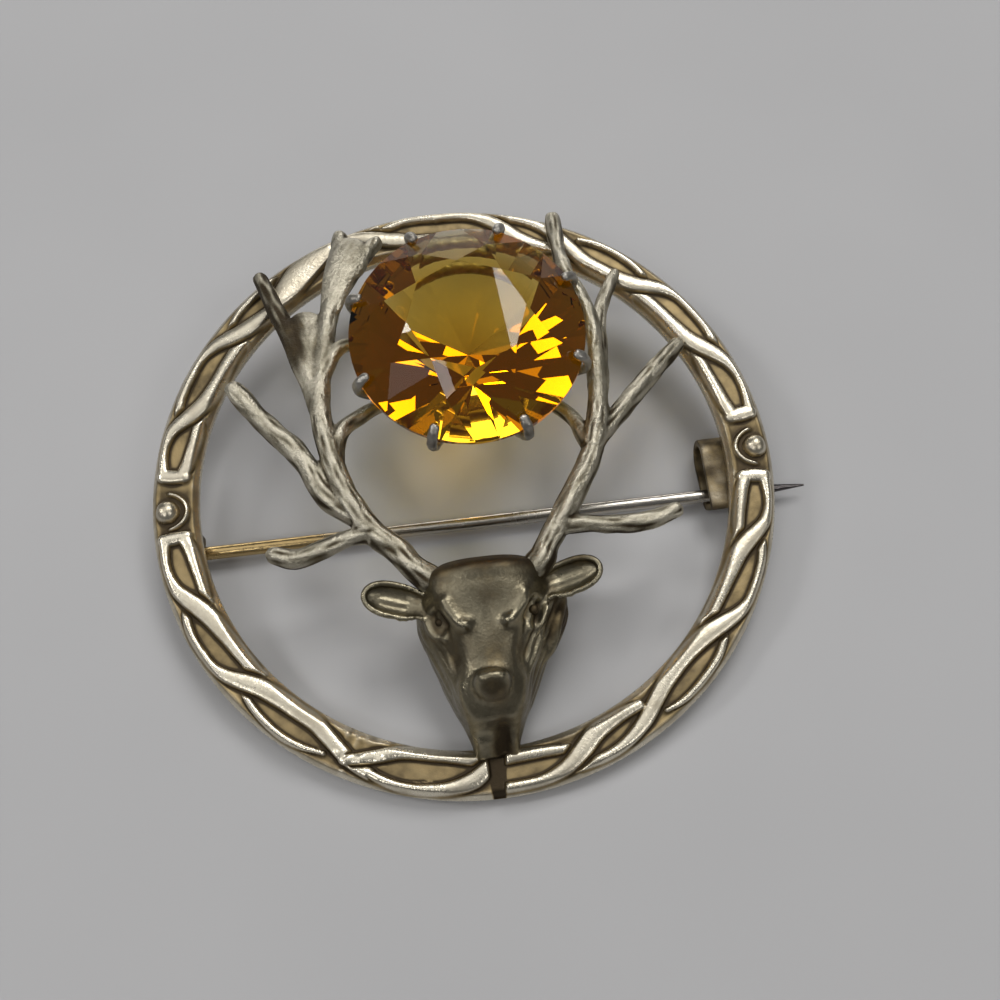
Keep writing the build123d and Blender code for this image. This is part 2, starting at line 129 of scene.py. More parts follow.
def flowing(points, spacing=0.15):
    """A smooth path through rows of numbers, of which the first three are a place."""
    points = np.array(points, float)
    knots = np.r_[0, np.cumsum(np.linalg.norm(np.diff(points[:, :3], axis=0), axis=1))]
    return curved(knots, points, np.linspace(0, knots[-1], int(knots[-1] / spacing) + 3))


def tube(path, radii, sides, up=(0, 0, 1), flat=1.0):
    """A wire along a path: an ellipse square to it at each point, and a half ball at each end."""
    tangent = np.gradient(path, axis=0)
    tangent /= np.linalg.norm(tangent, axis=1)[:, None]
    radii = np.broadcast_to(radii, len(path))
    lean = np.radians([80, 60, 40, 20])
    start = path[0] - tangent[0] * (radii[0] * np.sin(lean))[:, None]
    end = path[-1] + tangent[-1] * (radii[-1] * np.sin(lean[::-1]))[:, None]
    centre = np.vstack([start, path, end])
    along = np.vstack([tangent[:1].repeat(4, 0), tangent, tangent[-1:].repeat(4, 0)])
    radius = np.r_[radii[0] * np.cos(lean), radii, radii[-1] * np.cos(lean[::-1])]
    side = np.cross(up, along)
    side /= np.linalg.norm(side, axis=1)[:, None]
    over = np.cross(along, side)
    angle = np.linspace(0, 2 * pi, sides, endpoint=False)
    ring = side[:, None] * np.cos(angle)[:, None] + over[:, None] * np.sin(angle)[:, None] * flat
    points = centre[:, None] + ring * radius[:, None, None]
    return capped(points.reshape(-1, 3), len(centre), sides)


def ball(centre, radius):
    """A ball, as a very short wire."""
    centre = np.array(centre, float)
    path = centre + np.outer([-0.02, 0, 0.02], (0.01, 0, 1))
    return tube(path, radius, 24, up=(0, 1, 0))


def joined(shells):
    """Several closed skins as one: their points in one array, and all their arrays of faces."""
    starts = np.cumsum([0] + [len(points) for points, faces in shells])
    faces = [part + start for start, (points, parts) in zip(starts, shells) for part in parts]
    return np.vstack([points for points, faces in shells]), faces


def mesh_of(name, points, faces):
    """A mesh from an array of points and a list of arrays of faces."""
    mesh = bpy.data.meshes.new(name)
    mesh.from_pydata(points, [], [face for part in faces for face in part.tolist()])
    return mesh


def ripple(points, length, seed, waves=28):
    """A smooth random height of about -1 to 1: waves about one length long, in random directions."""
    random = np.random.default_rng(seed)
    direction = random.normal(size=(waves, points.shape[1]))
    direction /= np.linalg.norm(direction, axis=1)[:, None] * length * random.uniform(0.7, 1.4, (waves, 1))
    phase = random.uniform(0, 2 * pi, waves)
    return np.sin(points @ direction.T * 2 * pi + phase).sum(1) * np.sqrt(2 / waves) * 0.7


class Skin:
    """One skin of points, in mm, and four-sided faces, with its edges for what spreads over it."""

    def __init__(self, points, faces):
        self.points = points
        self.faces = faces
        sides = np.vstack([faces[:, [i, (i + 1) % 4]] for i in range(4)])
        self.edges = np.vstack([sides, sides[:, ::-1]])
        self.degree = np.bincount(self.edges[:, 0], minlength=len(points))

    def spread(self, values, rounds):
        """Each value moves halfway to its neighbours' mean, as many times as there are rounds."""
        values = values.reshape(len(values), -1).astype(float)
        for _ in range(rounds):
            sums = [
                np.bincount(self.edges[:, 0], column[self.edges[:, 1]], len(values))
                for column in values.T
            ]
            values = (values + np.stack(sums, 1) / self.degree[:, None]) / 2
        return values.squeeze()

    def normals(self):
        """The direction square to the skin at each point, from the faces' diagonals."""
        a, b, c, d = (self.points[self.faces[:, i]] for i in range(4))
        square = np.cross(c - a, d - b)
        total = np.stack(
            [
                sum(np.bincount(self.faces[:, i], part, len(self.points)) for i in range(4))
                for part in square.T
            ],
            1,
        )
        return total / np.maximum(np.linalg.norm(total, axis=1), 1e-12)[:, None]

    def hollows(self, reach):
        """How far each place lies under the skin's smoothed form, in mm: above 0 in a hollow."""
        return ((self.spread(self.points, reach) - self.points) * self.normals()).sum(1)


def fused(shells, voxel, rounds):
    """The shells as one skin: their space is filled with cubes of the voxel's size and skinned again."""
    mesh = mesh_of("shells", *joined(shells))
    body = bpy.data.objects.new("shells", mesh)
    scene.collection.objects.link(body)
    skin = body.modifiers.new("Skin", "REMESH")
    skin.mode = "VOXEL"
    skin.voxel_size = voxel
    made = body.evaluated_get(bpy.context.evaluated_depsgraph_get()).to_mesh()
    points = np.empty(len(made.vertices) * 3)
    made.vertices.foreach_get("co", points)
    corners = np.empty(len(made.loops), int)
    made.loops.foreach_get("vertex_index", corners)
    bpy.data.objects.remove(body)
    bpy.data.meshes.remove(mesh)
    result = Skin(points.reshape(-1, 3), corners.reshape(-1, 4))
    result.points = result.spread(result.points, rounds)
    return result


def piece(name, points, faces, finish, hollow):
    """One silver piece on the brooch's body, laid in the frame. hollow is the mark of tarnish and painted
    shade on its points.
    """
    mesh = mesh_of(name, laid(points), faces)
    mesh.shade_smooth()
    mark = mesh.attributes.new("hollow", "FLOAT", "POINT")
    mark.data.foreach_set("value", hollow.astype(np.float32))
    mesh.materials.append(finish)
    made = bpy.data.objects.new(name, mesh)
    scene.collection.objects.link(made)
    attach(made, "brooch")
    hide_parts("brooch_frame")


# Finishes


class Field:
    """A node's output. Python's operators on one that is a number add Math nodes."""

    def __init__(self, tree, socket):
        self.tree = tree
        self.socket = socket

    def math(self, operation, *values, clamp=False):
        node = self.tree.nodes.new("ShaderNodeMath")
        node.operation = operation
        node.use_clamp = clamp
        for target, value in zip(node.inputs, values):
            if isinstance(value, Field):
                self.tree.links.new(value.socket, target)
            else:
                target.default_value = value
        return Field(self.tree, node.outputs[0])

    def __add__(self, other):
        return self.math("ADD", self, other)

    def __sub__(self, other):
        return self.math("SUBTRACT", self, other)

    def __mul__(self, other):
        return self.math("MULTIPLY", self, other)

    def __radd__(self, other):
        return self.math("ADD", other, self)

    def __rsub__(self, other):
        return self.math("SUBTRACT", other, self)

    def __rmul__(self, other):
        return self.math("MULTIPLY", other, self)

    def clamped(self):
        return self.math("ADD", self, 0, clamp=True)


class Finish:
    """A material, from an empty node tree to its shader."""

    def __init__(self, name):
        self.material = bpy.data.materials.new(name)
        self.material.use_nodes = True
        self.tree = self.material.node_tree
        self.tree.nodes.clear()
        self.place = self.node("ShaderNodeTexCoord", output="Object")

    def node(self, kind, settings=None, inputs=None, output=0):
        """A node of this type: first its settings, then its sockets' values or links."""
        node = self.tree.nodes.new(kind)
        for key, value in (settings or {}).items():
            setattr(node, key, value)
        for key, value in (inputs or {}).items():
            if isinstance(value, Field):
                self.tree.links.new(value.socket, node.inputs[key])
            else:
                node.inputs[key].default_value = value
        return Field(self.tree, node.outputs[output]) if node.outputs else node

    def noise(self, size, detail=3.0, roughness=0.55):
        """Noise whose patches are about this many mm across, from 0 to 1."""
        inputs = {"Vector": self.place, "Scale": 1 / (size * MM), "Detail": detail, "Roughness": roughness}
        return self.node("ShaderNodeTexNoise", inputs=inputs)

    def mark(self, name):
        """The numbers that a piece carries on its points under this name."""
        return self.node("ShaderNodeAttribute", {"attribute_name": name}, output="Fac")

    def step(self, value, low, high):
        """0 below low, 1 above high, and a smooth step between."""
        settings = {"interpolation_type": "SMOOTHSTEP"}
        return self.node("ShaderNodeMapRange", settings, {"Value": value, "From Min": low, "From Max": high})

    def mix(self, share, low, high):
        """A colour that runs from low to high with the share."""
        colours = [(*colour, 1) if isinstance(colour, tuple) else colour for colour in (low, high)]
        return self.node("ShaderNodeMix", {"data_type": "RGBA"}, {0: share, 6: colours[0], 7: colours[1]}, 2)

    def relief(self, height, depth, under=None):
        """Normals bent by a height from 0 to 1, which stands for this depth in mm."""
        inputs = {"Height": height, "Distance": depth * MM}
        if under:
            inputs["Normal"] = under
        return self.node("ShaderNodeBump", inputs=inputs)

    def shaded(self, **sockets):
        """The material with its principled shader, whose sockets are named with _ for a space."""
        inputs = {key.replace("_", " "): value for key, value in sockets.items()}
        shader = self.node("ShaderNodeBsdfPrincipled", inputs=inputs)
        self.node("ShaderNodeOutputMaterial", inputs={"Surface": shader})
        return self.material


# Tarnish colours; they also paint the shade that some pieces' marks carry
GILT_TARNISH_AND_SHADE = (0.38, 0.29, 0.15)
DARK_TARNISH_AND_SHADE = (0.06, 0.045, 0.028)
PIT_DEPTH = 0.04


def aged_silver(name, bright, dull, gilt, pitting, roughness):
    """Cast silver: worn bright where it stands out, dull on flats, brown to black in its hollows and where
    shade is painted.

    gilt is how golden the tarnish is, from 0 to 1, and roughness that of the clean metal. pitting is how
    many times the usual depth its pits have.
    """
    finish = Finish(name)
    # The mark carries tarnish in hollows and, on the ring, antlers and head, painted shade as well.
    hollow = finish.mark("hollow")
    cloud = finish.noise(2.6, 4)
    speck = finish.noise(0.35, 4, 0.7)
    tarnish_and_shade_mask = finish.step(hollow + (cloud - 0.5) * 0.5 + (speck - 0.5) * 0.3, 0.2, 1.0)
    black_tarnish_and_shade_mask = finish.step(hollow + (speck - 0.5) * 0.2, 0.9, 1.5)
    film = finish.step(cloud + (speck - 0.5) * 0.4 + hollow * 0.5, 0.3, 0.9)
    colour = finish.mix(film, bright, dull)
    tarnish_and_shade_colour = finish.mix(finish.step(finish.noise(1.4) + gilt, 0.5, 1.1), DARK_TARNISH_AND_SHADE, GILT_TARNISH_AND_SHADE)
    colour = finish.mix(tarnish_and_shade_mask, colour, tarnish_and_shade_colour)
    colour = finish.mix(black_tarnish_and_shade_mask, colour, DARK_TARNISH_AND_SHADE)
    normal = finish.relief(finish.noise(0.18, 3, 0.6), pitting * PIT_DEPTH)
    normal = finish.relief(finish.noise(0.9, 2), pitting * PIT_DEPTH, normal)
    rough = roughness + film * 0.10 + tarnish_and_shade_mask * 0.16 + (speck - 0.5) * 0.10
    return finish.shaded(Base_Color=colour, Metallic=1.0, Roughness=rough.clamped(), Normal=normal)


ring_silver = aged_silver(
    "ring_silver", (0.77, 0.71, 0.575), (0.45, 0.395, 0.295), gilt=0.4, pitting=0.5, roughness=0.27
)
head_silver = aged_silver(
    "head_silver", (0.28, 0.25, 0.175), (0.15, 0.13, 0.087), gilt=0.1, pitting=0.7, roughness=0.28
)
antler_silver = aged_silver(
    "antler_silver", (0.53, 0.49, 0.395), (0.27, 0.245, 0.18), gilt=0.0, pitting=2.0, roughness=0.34
)
claw_silver = aged_silver(
    "claw_silver", (0.46, 0.44, 0.40), (0.24, 0.22, 0.19), gilt=0.0, pitting=0.7, roughness=0.32
)
back_silver = aged_silver(
    "back_silver", (0.50, 0.45, 0.36), (0.30, 0.26, 0.19), gilt=0.2, pitting=0.7, roughness=0.32
)

# Ring: the ribbon's strands on one quarter, from the bead beside it to the top or the bottom.
# Columns: angle from the bead in degrees, side from -1 at the inner edge to 1, half width in mm
BAR = [(7.1, 0.44, 0.44), (7.0, 0.03, 0.46), (7.1, -0.38, 0.44)]
FIRST_LOWER = [
    (7.6, -0.40, 0.36), (10, -0.52, 0.34), (14, -0.58, 0.32), (18.5, -0.60, 0.30), (22.5, -0.54, 0.28),
]
FIRST_STRAND = [
    (8, 0.48, 0.32), (11, 0.58, 0.27), (15, 0.60, 0.27), (18, 0.47, 0.36), (20, 0.22, 0.44),
    (22.5, -0.13, 0.48), (25.5, -0.42, 0.46), (30, -0.56, 0.40), (36, -0.60, 0.36), (42, -0.60, 0.34),
]
MIDDLE_START = [(21, 0.34, 0.26), (25, 0.56, 0.26), (30, 0.62, 0.26), (33, 0.61, 0.27)]
MIDDLE_STRAND = [
    (31, 0.62, 0.26), (35, 0.58, 0.28), (38, 0.36, 0.38), (40.5, 0.05, 0.46), (43.5, -0.28, 0.48),
    (47, -0.48, 0.46), (52, -0.56, 0.42), (56, -0.50, 0.42), (60, -0.20, 0.44), (64, 0.22, 0.42),
    (67.5, 0.46, 0.34), (72, 0.58, 0.28), (78, 0.52, 0.26),
]
MIDDLE_UPPER = [(42, 0.26, 0.20), (45.5, 0.50, 0.22), (50, 0.62, 0.23), (55, 0.58, 0.21), (59.5, 0.40, 0.14)]
LAST_STRAND = [
    (63, -0.44, 0.26), (67.5, -0.56, 0.36), (71.5, -0.42, 0.44), (75, -0.02, 0.46),
    (78.5, 0.34, 0.40), (82, 0.52, 0.32), (87, 0.57, 0.30), (93, 0.52, 0.32),
]
LAST_LOWER = [(77, -0.30, 0.22), (81, -0.50, 0.26), (86, -0.57, 0.30), (93, -0.56, 0.32)]
FROM_BEAD = [BAR, FIRST_LOWER, MIDDLE_START, MIDDLE_UPPER, FIRST_STRAND, MIDDLE_STRAND]
# The upper left quarter has one wide smooth ribbon, and the last cell of the lower left one is long.
WIDE_RIBBON = [
    [(53, -0.40, 0.46), (57, -0.18, 0.72), (61, 0.06, 0.80), (65, 0.28, 0.70), (69, 0.42, 0.45)],
    [(78, 0.30, 0.20), (83, 0.55, 0.28), (93, 0.56, 0.30)],
    [
        (68, 0.50, 0.30), (72, 0.50, 0.38), (76, 0.22, 0.46), (80, -0.22, 0.46), (84, -0.50, 0.38),
        (93, -0.57, 0.32),
    ],
]
LONG_CELL = [
    [(86.5, -0.64, 0.34), (79, -0.68, 0.33), (71, -0.62, 0.32), (67, -0.18, 0.34), (63, 0.30, 0.30)],
    [
        (89.3, -0.66, 0.30), (87.3, -0.26, 0.40), (84.9, 0.22, 0.44), (81.8, 0.55, 0.37),
        (77, 0.66, 0.30), (71, 0.62, 0.28), (67, 0.40, 0.24),
    ],
]
# Where the bar, the crossings and the last cell stand on each quarter, and in the columns above
LANDMARKS = (0, 7.4, 21.5, 40.5, 61, 75, 93)
QUARTERS = [
    (FROM_BEAD + [LAST_LOWER, LAST_STRAND], (0, 7.3, 22.3, 41.0, 61, 75, 93)),
    (FROM_BEAD + WIDE_RIBBON, (0, 7.4, 19.5, 38.5, 60, 75, 93)),
    (FROM_BEAD + LONG_CELL, (0, 5.6, 19.5, 37.3, 59, 75, 93)),
    (FROM_BEAD + [LAST_LOWER, LAST_STRAND], (0, 6.5, 18.7, 37.5, 58.5, 74.5, 93)),
]
BAND_ARC = RING_MID_R * pi / 180
RING_STEPS = 1560
FRONT_STEPS = 46
# From the front's outer edge down the wall to the middle of the back. Columns: side, height
RING_WALL = [
    (1.0, -0.9), (1.0, -1.15), (0.97, -1.4), (0.88, -1.62), (0.7, -RING_THICK), (0.0, -RING_THICK),
]
# The ring stays this far inside the solid's facets
RING_PLAY = 0.01
# How much further in the band's inner edge lies than its half width
INNER_EDGE = 0.15
SHOULDER_DROP = 0.6
# A strand is this many times as wide at its foot as its crest is in the columns above
STRAND_SWELL = 1.22
RECESS = 0.42
BEAD_R = 0.78
BEAD_OUT = 0.4
CRESCENT_R = 1.25
CRESCENT_HALF = 0.17
SEAM_ANGLE = 269.5
SEAM_HEIGHT = -0.45
# Old solder left of the seam: its height, and the angles where it begins, is full, fades and ends
SOLDER_HEIGHT = 0.07
SOLDER_ANGLES = (237, 241, 247, 251)


def strand_height(strands, angle, side):
    """1 along the strands' crests, 0 off them, and how deep a crease is beside each.

    Square to a strand the height is a low arch with steep edges. A later strand lies over an earlier one,
    which dips beside it.
    """
    along, across = angle * BAND_ARC, side * BAND_WIDTH / 2
    height, crease = np.zeros(angle.shape), np.zeros(angle.shape)
    for strand in strands:
        path = flowing(np.array(strand) * (BAND_ARC, BAND_WIDTH / 2, 1), 0.2)
        path[:, 2] *= STRAND_SWELL
        far = [((along - x) ** 2 + (across - y) ** 2) / reach**2 for x, y, reach in path]
        out = np.sqrt(np.min(far, 0))
        over = (1 - 0.3 * out**2) * (1 - eased(out, 0.78, 1.08))
        beside = 1 - eased(np.sqrt(np.min(far[3:-3], 0)), 1.08, 1.5)
        height = np.maximum(height * (1 - 0.8 * beside), over)
        crease = np.maximum(crease, beside) * (1 - over)
    return height, crease


def ring_front(angle, side):
    """The front's height in mm, and how much tarnish and painted shade lie in its pattern.

    The ground lies a recess below the strands' crests, and less at both edges. A round bead with a
    crescent beside it stands in line with the pin, left and right. The seam is flat and the shoulders slope.
    """
    around, across = len(angle), len(side)
    spots = np.stack(np.broadcast_arrays(angle * BAND_ARC, side), -1).reshape(-1, 2)
    wobble = ripple(spots, 5.0, 3).reshape(around, across)
    folded = abs((angle + 90) % 180 - 90)
    bent = side + wobble[:, ::-1] * 0.04
    quarter = around // 4
    parts = []
    for i, (strands, places) in enumerate(QUARTERS):
        rows = slice(i * quarter, (i + 1) * quarter)
        moved = np.interp(folded[rows], places, LANDMARKS) + wobble[rows] * 0.3
        parts.append(strand_height(strands, moved, bent[rows]))
    height, crease = (np.vstack(part) for part in zip(*parts))
    from_bead = np.hypot(folded * BAND_ARC, side * BAND_WIDTH / 2 - BEAD_OUT)
    bead = np.sqrt(np.clip(BEAD_R**2 - from_bead**2, 0, None))
    crescent = np.clip(1 - ((from_bead - CRESCENT_R) / CRESCENT_HALF) ** 2, 0, 1) * eased(-side, -0.4, -0.1)
    bead_shade = 1 - eased(folded * BAND_ARC, 1.3, 1.9)
    solder = eased(angle, *SOLDER_ANGLES[:2]) * (1 - eased(angle, *SOLDER_ANGLES[2:]))
    solder = solder * np.clip(ripple(spots, 0.9, 7).reshape(around, across) + 0.3, 0, None)
    seam = 1 - eased(abs(angle - SEAM_ANGLE) * BAND_ARC * (1.2 + 0.4 * side) + wobble * 0.1, 0.3, 0.65)
    raised = np.maximum(height, crescent * 0.8) - crease * 0.15
    deep = RECESS * (1 - 0.55 * eased(abs(side), 0.55, 0.85))
    top = between(-deep * (1 - raised), SEAM_HEIGHT, seam) + wobble * 0.02 + solder * SOLDER_HEIGHT
    top = np.maximum(top, bead * 0.95 - RECESS) - SHOULDER_DROP * eased(abs(side), 0.55, 1.05) ** 1.5
    cell = 1 - np.maximum(np.maximum(height, crescent), (bead > 0) * 0.9)
    shoulder = eased(abs(side), 0.72, 0.88)
    # Painted shade in the creases beside crossing strands and round the bead's foot; the seam and the cells
    # are darker too.
    dark = 0.45 * crease + seam * 1.8 + bead_shade * 0.3 - 0.8 + cell * (0.85 - 0.55 * shoulder)
    return top, dark


def ring_piece():
    """The band: a rectangle with rounded edges round the Z axis, whose front carries the strands."""
    angle = np.arange(RING_STEPS)[:, None] * 360 / RING_STEPS
    side = np.linspace(-1, 1, FRONT_STEPS)
    top, dark = ring_front(angle, side)
    wall_sides, wall_heights = np.array(RING_WALL).T
    sides = np.r_[side, wall_sides, -wall_sides[-2::-1]]
    z = np.hstack([top, np.tile(np.r_[wall_heights, wall_heights[-2::-1]], (RING_STEPS, 1))])
    radius = RING_MID_R - RING_PLAY + sides * BAND_WIDTH / 2 - INNER_EDGE * eased(-sides, 0, 1)
    turned = np.radians(angle)
    points = np.stack([radius * np.cos(turned), radius * np.sin(turned), z], -1)
    skin = Skin(points.reshape(-1, 3), grid_faces(RING_STEPS, len(sides), True, True))
    hollow = skin.hollows(30).reshape(z.shape) * 4.0 + 0.9
    hollow[:, :FRONT_STEPS] += dark
    piece("ring", skin.points, [skin.faces], ring_silver, hollow.ravel())


ring_piece()

# Antlers. Columns of a branch: X, Y, Z and radius
LEFT_BRANCHES = [
    [(-3.1, -7.5, 3.0, 0.95), (-4.0, -6.6, 3.2, 0.86), (-4.56, -5.80, 3.2, 0.82), (-6.20, -4.20, 3.4, 0.80),
     (-7.66, -1.66, 3.6, 0.80), (-8.27, 0.48, 3.6, 0.76), (-8.80, 3.16, 3.4, 0.72), (-8.95, 5.25, 3.2, 0.70)],
    [(-8.95, 5.25, 3.2, 0.68), (-10.35, 9.78, 2.3, 0.70), (-11.54, 13.02, 1.35, 0.66),
     (-12.65, 16.25, 0.6, 0.54)],
    [(-8.95, 5.25, 3.2, 0.70), (-8.30, 9.82, 2.5, 0.66), (-7.70, 12.9, 2.0, 0.66), (-6.75, 15.4, 1.65, 0.58),
     (-6.15, 16.9, 1.3, 0.45)],
    [(-8.90, 6.35, 3.1, 0.55), (-7.15, 9.30, 2.6, 0.50), (-3.95, 9.50, 1.3, 0.40)],
    [(-8.27, 0.48, 3.5, 0.60), (-7.68, 2.88, 3.2, 0.55), (-6.24, 4.27, 2.4, 0.50), (-3.55, 5.90, 1.3, 0.40)],
    [(-6.70, -3.45, 3.4, 0.66), (-8.78, -1.73, 3.4, 0.72), (-10.34, 1.37, 3.2, 0.74),
     (-12.53, 4.04, 3.2, 0.72), (-14.36, 6.55, 3.4, 0.66)],
    [(-6.20, -4.20, 3.4, 0.56), (-8.10, -4.50, 3.4, 0.60), (-9.68, -5.01, 3.3, 0.64),
     (-11.23, -5.32, 3.2, 0.68), (-12.45, -4.90, 3.2, 0.58)],
]
RIGHT_BRANCHES = [
    [(3.7, -7.5, 3.0, 0.95), (4.2, -7.0, 3.2, 0.88), (4.43, -6.52, 3.2, 0.84), (5.31, -5.19, 3.4, 0.80),
     (6.95, -2.77, 3.5, 0.78), (8.39, -0.19, 3.4, 0.74), (9.10, 2.35, 3.25, 0.70), (9.38, 4.34, 3.1, 0.66)],
    [(9.38, 4.34, 3.1, 0.60), (9.90, 6.32, 2.6, 0.56), (10.60, 10.30, 1.6, 0.52), (12.30, 13.85, 0.4, 0.46)],
    [(9.20, 3.2, 3.2, 0.56), (9.62, 6.40, 3.0, 0.56), (9.63, 10.0, 2.7, 0.54),
     (8.60, 13.60, 2.1, 0.52), (8.52, 18.75, 0.5, 0.58)],
    [(8.39, -0.19, 3.4, 0.60), (9.43, 1.12, 3.0, 0.66), (11.37, 3.18, 2.4, 0.68),
     (13.48, 5.49, 1.4, 0.66), (15.85, 7.90, 0.3, 0.50)],
    [(8.30, -0.4, 3.4, 0.60), (7.45, 2.6, 2.2, 0.54), (5.4, 4.9, 1.3, 0.45)],
    [(5.31, -5.19, 3.4, 0.60), (7.1, -5.2, 3.35, 0.60), (8.91, -5.43, 3.2, 0.60),
     (11.14, -5.40, 3.1, 0.62), (13.0, -4.94, 3.1, 0.54)],
]
# Points of the palm, and flat webs in the forks, whose thickness is a share of their width
LEFT_POINTS = [
    [(-7.65, 12.8, 2.0, 0.58), (-7.30, 15.2, 1.75, 0.58), (-7.05, 17.0, 1.4, 0.62),
     (-6.80, 18.7, 0.95, 0.58)],
    [(-7.55, 12.8, 2.0, 0.58), (-6.20, 15.2, 1.75, 0.58), (-5.2, 16.8, 1.4, 0.60),
     (-4.35, 18.0, 0.95, 0.55)],
]
LEFT_WEBS = [
    [(-7.70, 12.6, 2.30, 0.80), (-7.05, 14.8, 2.05, 1.15), (-6.30, 16.4, 1.75, 1.45),
     (-6.10, 17.1, 1.6, 1.30)],
    [(-8.95, 4.8, 3.3, 0.80), (-9.10, 6.6, 3.1, 1.05), (-9.45, 8.6, 2.70, 1.35), (-9.55, 10.2, 2.35, 1.55),
     (-9.60, 11.3, 2.15, 1.30)],
]
RIGHT_WEBS = [[(9.25, 3.2, 3.2, 0.65), (9.55, 5.0, 2.95, 0.80), (9.7, 6.4, 2.8, 0.65)]]
WEB_THICKNESS = 0.42
ANTLER_VOXEL = 0.11
# Waves per mm along a branch, to its side and over it, and the grooves' depth
GROOVE_WAVES = (0.55, 2.4, 2.4)
GROOVE_DEPTH = 0.032
LUMPS = 0.05
PATH_GAP = 7


def grooves(points, paths, seed):
    """A random height drawn out along the nearest path: waves across it are short and along it long.

    Each point's place is its distance along that path, to its side and over it. The next path counts on
    from the last one's end, so that no two have the same waves.
    """
    nearest = np.full(len(points), 1e9)
    place = np.zeros((len(points), 3))
    run = 0
    for path in paths:
        tangent = np.gradient(path, axis=0)
        step = np.linalg.norm(tangent, axis=1)
        tangent /= step[:, None]
        reach = run + np.cumsum(step)
        run = reach[-1] + PATH_GAP
        side = np.cross((0, 0, 1), tangent)
        over = np.cross(tangent, side)
        for i in range(len(path)):
            away = points - path[i]
            far = (away**2).sum(1)
            closer = far < nearest
            nearest[closer] = far[closer]
            local = away[closer] @ np.stack([tangent[i], side[i], over[i]], 1)
            place[closer] = (local + (reach[i], 0, 0)) * GROOVE_WAVES
    return ripple(place, 1.0, seed, 36)


def antlers_piece(name, branches, points, webs, seed):
    """A beam, its tines and its webs as round and flat wires, skinned as one, then grooved along them.

    Tarnish lies in the grooves, near the head and on the left antler's outer crown tine; shade is painted on
    the flanks.
    """
    shells, paths = [], []
    for number, branch in enumerate(branches + points):
        path = flowing(branch)
        lumps = 1 + LUMPS * ripple(path[:, :3], 1.8, seed + number)
        shells.append(tube(path[:, :3], path[:, 3] * lumps, 18))
        paths.append(path[:, :3])
    web_paths = [flowing(web) for web in webs]
    for path in web_paths:
        shells.append(tube(path[:, :3], path[:, 3], 30, flat=WEB_THICKNESS))
    skin = fused(shells, ANTLER_VOXEL, 4)
    from_web = [np.hypot(*(skin.points - spot[:3])[:, :2].T) / spot[3] for spot in np.vstack(web_paths)]
    calm = eased(np.min(from_web, 0), 0.8, 1.3)
    groove = grooves(skin.points, paths[: len(branches)], seed + 50)
    groove = skin.spread(groove, 1) * between(0.25, 1, calm)
    skin.points = skin.points + skin.normals() * (groove * GROOVE_DEPTH)[:, None]
    base = eased(-skin.points[:, 1], 4.5, 7.5)
    # Painted shade on the sides that turn away from overhead, darker than the tops
    flank_shade = 1 - eased(skin.normals()[:, 2], 0.1, 0.8)
    tine = eased(-skin.points[:, 0], 9.2, 10.2) * eased(skin.points[:, 1], 6.5, 9.0)
    hollow = skin.hollows(14) * 9 - groove * 0.32 + 0.32 + base * 0.3 + flank_shade * 0.4 + tine * 0.7
    piece(name, skin.points, [skin.faces], antler_silver, hollow)


antlers_piece("left_antler", LEFT_BRANCHES, LEFT_POINTS, LEFT_WEBS, 11)
antlers_piece("right_antler", RIGHT_BRANCHES, [], RIGHT_WEBS, 23)

# Setting: claws in a circle, from the gallery up past the girdle and over the crown
CLAW_COUNT = 8
CLAW_TURN = 22.5
# A claw's width, as a share of its thickness
CLAW_WIDTH = 1.35
GALLERY_WIRE_R = 0.45
SETTING_VOXEL = 0.09
CLAW_LUMPS = 0.08
CLAW_GRAIN = 0.015
# Columns: distance from the stone's axis, height, half thickness
CLAW_PATH = [
    (GALLERY_R, GALLERY_Z, 0.36), (6.9, 2.75, 0.34), (8.05, 4.2, 0.26), (8.10, 4.95, 0.26),
    (7.85, 5.50, 0.28), (7.35, 5.78, 0.28),
]


def setting_piece():
    """A ring of round wire and the claws' flat wires, which bend over the crown, all skinned as one."""
    angle = np.linspace(0, 2 * pi, 121)
    circle = np.stack([np.cos(angle), np.sin(angle), 0 * angle], 1) * GALLERY_R
    shells = [tube(circle + (*STONE, GALLERY_Z), GALLERY_WIRE_R, 16)]
    for number in range(CLAW_COUNT):
        azimuth = radians(CLAW_TURN + 360 / CLAW_COUNT * number)
        out = np.array([cos(azimuth), sin(azimuth), 0])
        path = flowing([(*(out * r + (*STONE, z)), thick) for r, z, thick in CLAW_PATH])
        radii = path[:, 3] * (1 + CLAW_LUMPS * ripple(path[:, :3], 1.2, number))
        shells.append(tube(path[:, :3], radii, 16, up=np.cross(out, (0, 0, 1)), flat=CLAW_WIDTH))
    skin = fused(shells, SETTING_VOXEL, 3)
    grain = ripple(skin.points, 0.5, 5)
    skin.points = skin.points + skin.normals() * (grain * CLAW_GRAIN)[:, None]
    hollow = skin.hollows(10) * 8 + 0.35 + grain * 0.1
    piece("setting", skin.points, [skin.faces], claw_silver, hollow)


setting_piece()
